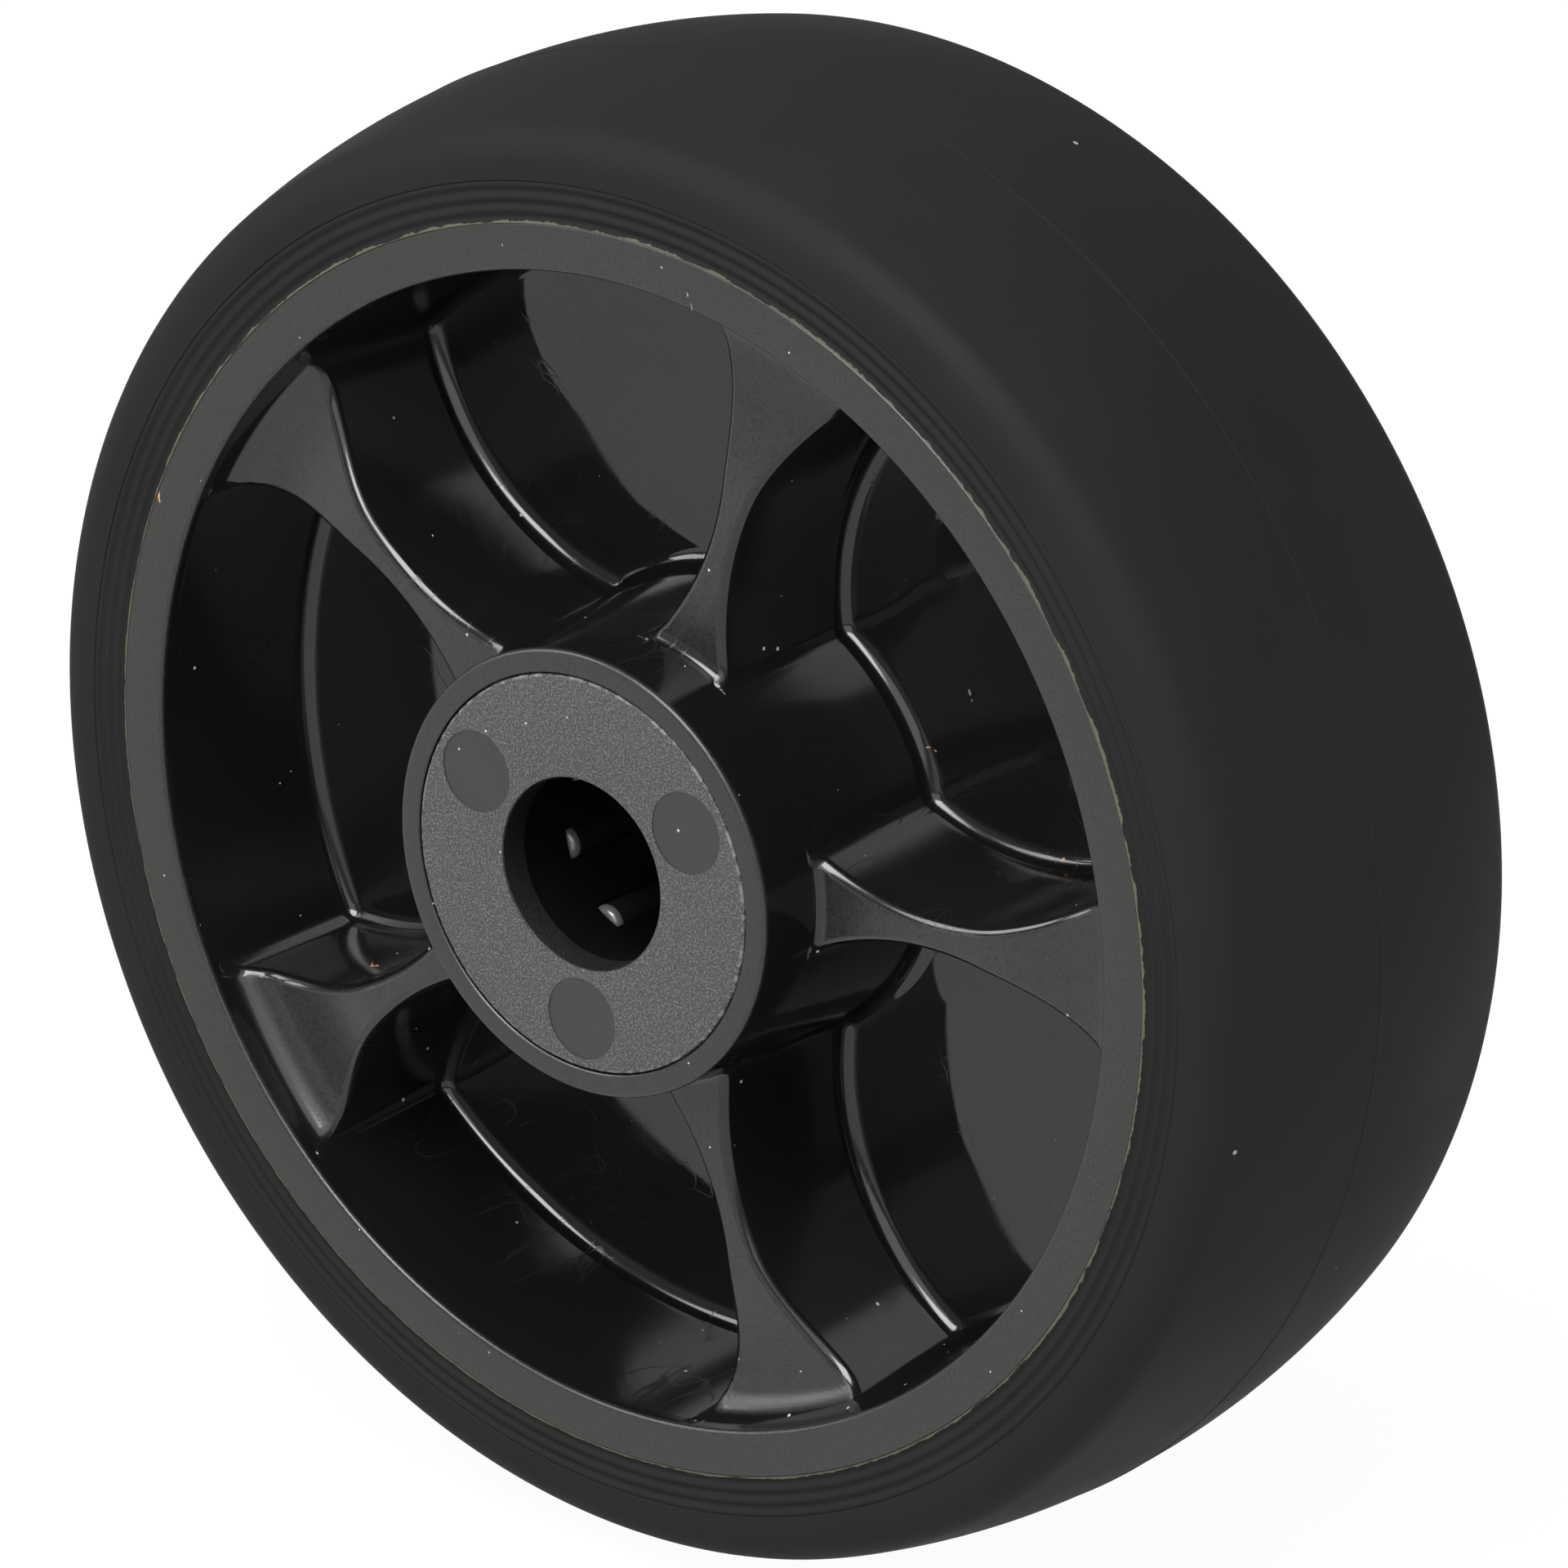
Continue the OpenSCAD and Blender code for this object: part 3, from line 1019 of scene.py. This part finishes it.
    def edge_ring(self, lift: float, low: list[Vector], high: list[Vector]) -> list[Vector]:
        """One ring of the rounding between the pocket's wall and the spoke's face.

        Args:
            lift: Angle round the edge in degrees.
            low: The wall's lowest ring.
            high: The wall's highest ring.

        Returns:
            The ring, which follows the dip and the ramps of the face.
        """
        base = self.pocket_ring(self.face_y)
        turn = math.radians(lift)
        ring = []
        for i, share in enumerate(self.flank_share()):
            along = base[(i + 1) % len(base)] - base[i - 1]
            outward = Vector((along.z, 0, -along.x)).normalized()
            spread = self.spoke_edge * share * (1 - math.cos(turn))
            height = self.face_height((base[i] + outward * spread * MM).xz.length / MM)
            edge = max(self.spoke_edge * share, self.least_edge)
            level = height - edge * (1 - math.sin(turn))
            climbed = (level * MM - low[i].y) / (high[i].y - low[i].y)
            ring.append(low[i].lerp(high[i], climbed) + outward * spread * MM)
        return ring

    def pocket_cutter(self) -> Object:
        """Model the space of one pocket as a closed solid."""
        fillet_top = self.web_half + self.floor_r
        low, high = self.pocket_ring(fillet_top), self.pocket_ring(self.half_w)
        rings = []
        for i in range(self.FLOOR_STEPS + 1):
            a = math.radians(90 * i / self.FLOOR_STEPS)
            height = self.web_half + self.floor_r * (1 - math.cos(a))
            foot = self.pocket_ring(fillet_top, self.floor_r * (1 - math.sin(a)))
            rings.append([Vector((p.x, height * MM, p.z)) for p in foot])
        rings += [self.edge_ring(lift, low, high) for lift in self.EDGE_LIFTS]
        top = self.hub_half + self.CLEAR_TOP
        rings.append([Vector((p.x, top * MM, p.z)) for p in rings[-1]])
        return Workbench.lofted("pocket", rings)

    def build(self, material: Material) -> Object:
        """Model the centre and dress it.

        Args:
            material: The centre's material.

        Returns:
            The finished piece.
        """
        half = self.section()
        blank = Workbench.turned("centre_moulding", mirrored(half), self.spin_steps, self.SPIN_TILT)
        cutter = self.pocket_cutter()
        cutters = []
        for side in Side:
            for i in range(self.spoke_n):
                turn = -math.radians(self.spoke_phase + (i + 0.5) * 360 / self.spoke_n)
                place = Matrix.Rotation(turn, 4, "Y") @ Matrix.Diagonal((1, side.value, 1, 1))
                cutters.append(Workbench.copied(cutter, f"pocket_{side.name}_{i}", place))
        bpy.data.objects.remove(cutter)
        Workbench.cut(blank, Workbench.joined("pockets", cutters))
        Workbench.shade(blank, self.SMOOTH_BELOW)
        Workbench.seat(blank, WHEEL_BODY, Slot.CENTRE, material, "wheel_centre")
        return blank


@dataclass
class Tyre:
    """The rubber tyre, with fine ridges by the rim and a parting line round the tread."""

    seat_r: float = 67.0
    tread_r: float = 80.0
    half_w: float = 25.0
    crown_r: float = 85.0
    shoulder_r: float = 4.5
    lock_h: float = 3.0
    lock_w: float = 10.0
    ridge_n: int = 3
    ridge_pitch: float = 1.35
    ridge_h: float = 0.28
    bead_offset: float = -2.5
    bead_h: float = 0.09
    bead_w: float = 0.5
    spin_steps: int = 300

    SIDE_STEPS: ClassVar[int] = 60
    SHOULDER_STEPS: ClassVar[int] = 12
    TREAD_STEPS: ClassVar[int] = 60
    BEAD_STEPS: ClassVar[int] = 8
    LAST_RIDGE: ClassVar[float] = 0.25
    SMOOTH_BELOW: ClassVar[float] = 30.0

    def crown(self, y: float) -> float:
        """Radius of the tread at a distance from the middle plane, with the parting line."""
        base = self.tread_r - self.crown_r + math.sqrt(self.crown_r**2 - y**2)
        near = abs(y - self.bead_offset) / (self.bead_w / 2)
        return base + (self.bead_h * smooth(1 - near) if near < 1 else 0.0)

    def side_face(self) -> Outline:
        """The side face from the rim out to the shoulder, with its ridges."""
        end = self.shoulder_centre()[0]
        band = (self.ridge_n + self.LAST_RIDGE) * self.ridge_pitch
        points = []
        for i in range(self.SIDE_STEPS + 1):
            r = self.seat_r + (end - self.seat_r) * i / self.SIDE_STEPS
            wave = 0.5 - 0.5 * math.cos(math.tau * (r - self.seat_r) / self.ridge_pitch)
            dip = self.ridge_h * wave if r - self.seat_r < band else 0.0
            points.append((r, self.half_w - dip))
        return points

    def shoulder_centre(self) -> Point:
        """Centre of the shoulder's arc."""
        across = self.half_w - self.shoulder_r
        reach = math.sqrt((self.crown_r - self.shoulder_r) ** 2 - across**2)
        return self.tread_r - self.crown_r + reach, across

    def section(self) -> Outline:
        """The whole closed section, from the seat round the tread."""
        centre = self.shoulder_centre()
        blend = math.degrees(math.asin(centre[1] / (self.crown_r - self.shoulder_r)))
        seat = [
            (self.seat_r + self.lock_h, self.lock_w / 2),
            (self.seat_r, self.lock_w / 2 + self.lock_h),
        ]
        shoulder = arc(centre, self.shoulder_r, 90, blend, self.SHOULDER_STEPS)[1:]
        upper = seat + self.side_face() + shoulder
        edge = upper[-1][1]
        spread = [-edge + 2 * edge * i / self.TREAD_STEPS for i in range(1, self.TREAD_STEPS)]
        shares = [i / self.BEAD_STEPS - 0.5 for i in range(self.BEAD_STEPS + 1)]
        bead = [self.bead_offset + self.bead_w * share for share in shares]
        across = sorted(set(spread + bead), reverse=True)
        tread = [(self.crown(y), y) for y in across]
        return upper + tread + [(r, -y) for r, y in reversed(upper)]

    def build(self, material: Material) -> Object:
        """Model the tyre and dress it."""
        piece = Workbench.turned("tyre_rubber", self.section(), self.spin_steps)
        Workbench.shade(piece, self.SMOOTH_BELOW)
        Workbench.seat(piece, WHEEL_BODY, Slot.TYRE, material, "tyre")
        return piece


@dataclass
class EndCap:
    """The cap pressed into a hub face, with smooth ejector marks on its grainy face."""

    side: Side
    bore_r: float = 10.3
    outer_r: float = 21.34
    outer_y: float = 30.95
    inner_y: float = 27.5
    edge: float = 0.3
    bore_edge: float = 0.25
    wobble: float = 0.06
    mark_n: int = 3
    mark_r: float = 4.4
    mark_from_axle: float = 15.9
    mark_first: float = 30.0
    mark_depth: float = 0.1
    mark_reach: float = 2.0
    drift_scale: float = 260.0
    drift_w: float = 1.0

    EDGE_STEPS: ClassVar[int] = 5
    SPIN_STEPS: ClassVar[int] = 200
    MARK_STEPS: ClassVar[int] = 96
    SMOOTH_BELOW: ClassVar[float] = 35.0

    def mark_places(self) -> tuple[Point, ...]:
        """Where the ejector marks lie, as places along X and Z."""
        far = self.mark_from_axle
        turns = [math.radians(self.mark_first + 360 / self.mark_n * i) for i in range(self.mark_n)]
        return tuple((far * math.cos(a), far * math.sin(a)) for a in turns)

    def build(self, material: Material) -> Object:
        """Model the cap and dress it."""
        name = f"cap_{self.side.name.lower()}"
        outer = (self.outer_r - self.edge, self.outer_y - self.edge)
        inner = (self.bore_r + self.bore_edge, self.outer_y - self.bore_edge)
        section = [
            (self.bore_r, self.inner_y),
            (self.outer_r, self.inner_y),
            *arc(outer, self.edge, 0, 90, self.EDGE_STEPS),
            *arc(inner, self.bore_edge, 90, 180, self.EDGE_STEPS),
        ]
        faced = [(r, y * self.side.value) for r, y in section]
        piece = Workbench.turned(name, faced, self.SPIN_STEPS)
        self.press(piece)
        Workbench.shade(piece, self.SMOOTH_BELOW)
        Workbench.seat(piece, WHEEL_BODY, Slot.CAP, material, f"end_{name}")
        return piece

    def press(self, piece: Object) -> None:
        """Cut the ejector marks and let the outer edge wander a little."""
        for x, z in self.mark_places():
            bpy.ops.object.select_all(action="DESELECT")
            middle = (self.outer_y - self.mark_depth + self.mark_reach / 2) * self.side.value
            bpy.ops.mesh.primitive_cylinder_add(
                vertices=self.MARK_STEPS,
                radius=self.mark_r * MM,
                depth=self.mark_reach * MM,
                location=Vector((x, middle, z)) * MM,
                rotation=(math.pi / 2, 0, 0),
            )
            mark = bpy.context.active_object
            bpy.ops.object.transform_apply(location=True, rotation=True, scale=True)
            Workbench.cut(piece, mark)
        for vertex in piece.data.vertices:
            flat = vertex.co.xz
            if flat.length > (self.outer_r - self.drift_w) * MM:
                drift = noise.noise(Vector((flat.x, 0, flat.y)) * self.drift_scale)
                flat = flat * (1 - abs(drift) * self.wobble * MM / flat.length)
                vertex.co = Vector((flat.x, vertex.co.y, flat.y))


@dataclass
class Roller:
    """One bearing roller with rounded ends."""

    number: int
    count: int = 8
    phase: float = 30.0
    pitch_r: float = 12.3
    radius: float = 2.0
    half_l: float = 20.0
    end_r: float = 0.8

    END_STEPS: ClassVar[int] = 6
    LAST_TURN: ClassVar[float] = 80.0
    SPIN_STEPS: ClassVar[int] = 48
    SMOOTH_BELOW: ClassVar[float] = 40.0

    def build(self, material: Material) -> Object:
        """Model the roller and dress it."""
        turn = math.radians(self.phase + self.number * 360 / self.count)
        corner = (self.radius - self.end_r, self.half_l - self.end_r)
        half = [*arc(corner, self.end_r, 0, self.LAST_TURN, self.END_STEPS), (0.0, self.half_l)]
        section = [(r, -y) for r, y in reversed(half)] + half
        piece = Workbench.turned(f"bearing_roller_{self.number}", section, self.SPIN_STEPS)
        shift = Vector((math.cos(turn), 0, -math.sin(turn))) * self.pitch_r * MM
        piece.data.transform(Matrix.Translation(shift))
        Workbench.shade(piece, self.SMOOTH_BELOW)
        node = f"roller_{self.number}"
        Workbench.seat(piece, node, Slot.ROLLER, material, node)
        return piece


@dataclass(frozen=True)
class Softbox:
    """A square soft lamp that faces the wheel, with its place and size in metres."""

    name: str
    place: Place
    size: float
    power: float

    def hang(self) -> None:
        """Add the lamp to the scene."""
        bpy.ops.object.light_add(type="AREA", location=self.place)
        lamp = bpy.context.active_object
        lamp.name = self.name
        lamp.data.shape = "RECTANGLE"
        lamp.data.size = lamp.data.size_y = self.size
        lamp.data.energy = self.power
        lamp.rotation_euler = (-Vector(self.place)).to_track_quat("-Z", "Y").to_euler()


@dataclass
class Studio:
    """The floor, the light and the camera."""

    floor_y: float = -80.12
    floor_size: float = 9.0
    azimuth: float = 38.463
    elevation: float = 21.578
    eye: Place = (711.8, -893.7, 452.2)
    focal_px: float = 14500.0
    frame_px: float = 1920.0
    sensor: float = 36.0
    floor_colour: Colour = grey(0.93)
    floor_glow: float = 0.965
    world_strength: float = 0.4
    softboxes: tuple[Softbox, ...] = (
        Softbox("front_softbox", (0.26, -0.80, 1.36), 1.0, 40.0),
        Softbox("right_softbox", (0.75, -1.0, 0.75), 1.2, 7.0),
        Softbox("left_softbox", (-0.95, -0.66, 1.12), 0.7, 11.0),
        Softbox("low_softbox", (-1.28, -0.86, 0.46), 0.5, 5.0),
        Softbox("top_softbox", (0.6, -0.2, 1.9), 1.4, 5.0),
    )

    def build_floor(self) -> None:
        """Lay the pale floor under the tread."""
        bpy.ops.object.select_all(action="DESELECT")
        bpy.ops.mesh.primitive_plane_add(size=self.floor_size, location=(0, 0, self.floor_y * MM))
        floor = bpy.context.active_object
        floor.name = "studio_floor"
        material = bpy.data.materials.new("studio_paper")
        material.use_nodes = True
        tree = material.node_tree
        tree.nodes.clear()
        w = NodeWriter(tree)
        end = w.add("ShaderNodeOutputMaterial")
        matte = w.add("ShaderNodeBsdfDiffuse")
        matte.inputs["Color"].default_value = self.floor_colour
        glow = w.add("ShaderNodeEmission")
        glow.inputs["Color"].default_value = grey(1.0)
        path = w.add("ShaderNodeLightPath")
        seen = w.larger(path.outputs["Is Camera Ray"], path.outputs["Is Glossy Ray"])
        mix = w.add("ShaderNodeMixShader")
        w.wire(w.times(seen, self.floor_glow), mix.inputs[0])
        w.wire(matte.outputs[0], mix.inputs[1])
        w.wire(glow.outputs[0], mix.inputs[2])
        w.wire(mix.outputs[0], end.inputs["Surface"])
        floor.data.materials.append(material)

    def build_world(self) -> None:
        """Fill the room with even light."""
        world = bpy.data.worlds.new("studio_room")
        bpy.context.scene.world = world
        world.use_nodes = True
        back = world.node_tree.nodes["Background"]
        back.inputs["Color"].default_value = grey(1.0)
        back.inputs["Strength"].default_value = self.world_strength

    def build_camera(self) -> None:
        """Put the camera where the photograph was taken from."""
        bpy.ops.object.camera_add(location=Vector(self.eye) * MM)
        camera = bpy.context.active_object
        az, el = math.radians(self.azimuth), math.radians(self.elevation)
        view = Vector((-math.sin(az) * math.cos(el), math.cos(az) * math.cos(el), -math.sin(el)))
        camera.rotation_euler = view.to_track_quat("-Z", "Y").to_euler()
        camera.data.sensor_width = self.sensor
        camera.data.lens = self.focal_px * self.sensor / self.frame_px
        camera.data.clip_end = 50.0
        bpy.context.scene.camera = camera

    def build(self) -> None:
        """Set up the whole studio."""
        self.build_floor()
        self.build_world()
        for softbox in self.softboxes:
            softbox.hang()
        self.build_camera()
        bpy.context.scene.view_settings.view_transform = "Standard"


def main() -> None:
    """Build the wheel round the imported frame."""
    logging.basicConfig(level=logging.INFO, format="%(name)s: %(message)s")
    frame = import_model()
    effects = Effects()
    Studio().build()
    centre = WheelCentre()
    centre.build(CentreFinish("gloss_black", centre).build(effects))
    Tyre().build(RubberFinish("black_rubber").build(effects))
    cap_finish = CapFinish("grainy_cap", EndCap(Side.FRONT)).build(effects)
    for side in Side:
        EndCap(side).build(cap_finish)
    steel = RollerFinish("roller_steel").build(effects)
    for number in range(1, Roller.count + 1):
        Roller(number).build(steel)
    cage = frame["nodes"]["roller_cage"]
    cage.data.materials.clear()
    cage.data.materials.append(CageFinish("cage_black").build(effects))


if __name__ == "__main__":
    main()
